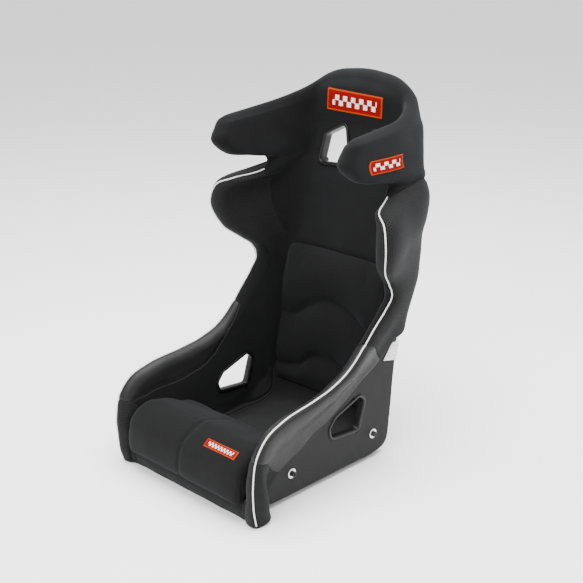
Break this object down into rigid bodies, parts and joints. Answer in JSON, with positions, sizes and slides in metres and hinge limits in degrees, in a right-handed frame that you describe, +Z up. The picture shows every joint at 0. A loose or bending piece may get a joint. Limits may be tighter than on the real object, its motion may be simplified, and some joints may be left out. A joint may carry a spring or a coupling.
{
  "type": "racing seat",
  "caption": "Fixed-back bucket racing seat with moulded shell, padded halo head wings, high side bolsters, belt slots, loose leg cushion and lumbar pad, and side-mount bolts.",
  "frame": {"origin": "centre of the bounding box's footprint, at the lowest point of the front bolsters", "axes": "+Z up, the sitter faces -Y, +X is the sitter's left"},
  "size_m": [0.623, 0.669, 0.925],
  "materials": {
    "shell_laminate": "satin moulded composite",
    "bezel_plastic": "gloss black",
    "bright_steel": "zinc-bright steel",
    "piping_white": "matt white cord piping",
    "patch_weave": "red woven patch, orange border, white chequered band",
    "label_film": "blank grey film",
    "fastening_strip": "black hook-and-loop",
    "bolster_vinyl": "fine-grained dark grey vinyl",
    "open_mesh": "black open mesh",
    "black_knit": "black fine knit"
  },
  "bodies": {
    "seat": {"shell": "shell_laminate", "lap_slot_bezel_left": "bezel_plastic", "lap_slot_bezel_right": "bezel_plastic", "shoulder_slot_bezel_left": "bezel_plastic", "shoulder_slot_bezel_right": "bezel_plastic", "crotch_slot_bezel": "bezel_plastic", "front_bolster_left": "open_mesh", "front_bolster_right": "open_mesh", "hip_bolster_left": "bolster_vinyl", "hip_bolster_right": "bolster_vinyl", "side_pad_left": "open_mesh", "side_pad_right": "open_mesh", "shoulder_pad_left": "open_mesh", "shoulder_pad_right": "open_mesh", "halo_pad_left": "black_knit", "halo_pad_right": "black_knit", "back_pad": "black_knit", "head_pad": "black_knit", "front_lip_pad": "black_knit", "seat_base_pad": "open_mesh", "piping_left": "piping_white", "piping_right": "piping_white", "head_patch": "patch_weave", "wing_patch_left": "patch_weave", "wing_patch_right": "patch_weave", "side_label": "label_film", "leg_strip_front": "fastening_strip", "leg_strip_rear": "fastening_strip", "lumbar_strip_lower": "fastening_strip", "lumbar_strip_upper": "fastening_strip", "bolt_front_left": "bright_steel", "bolt_front_right": "bright_steel", "washer_front_left": "bright_steel", "washer_front_right": "bright_steel", "insert_front_left": "bright_steel", "insert_front_right": "bright_steel", "bolt_rear_left": "bright_steel", "bolt_rear_right": "bright_steel", "washer_rear_left": "bright_steel", "washer_rear_right": "bright_steel", "insert_rear_left": "bright_steel", "insert_rear_right": "bright_steel"},
    "leg_cushion_body": {"leg_cushion": "black_knit", "cushion_patch": "patch_weave"},
    "lumbar_body": {"lumbar_pad": "black_knit"}
  },
  "joints": [
    {"name": "leg_cushion_lift", "type": "slide", "parent": "seat", "child": "leg_cushion_body", "axis": [0, 0, 1], "range_m": [0, 0.2]},
    {"name": "lumbar_pull", "type": "slide", "parent": "seat", "child": "lumbar_body", "axis": [0, -0.9872, 0.1593], "range_m": [0, 0.2]}
  ]
}
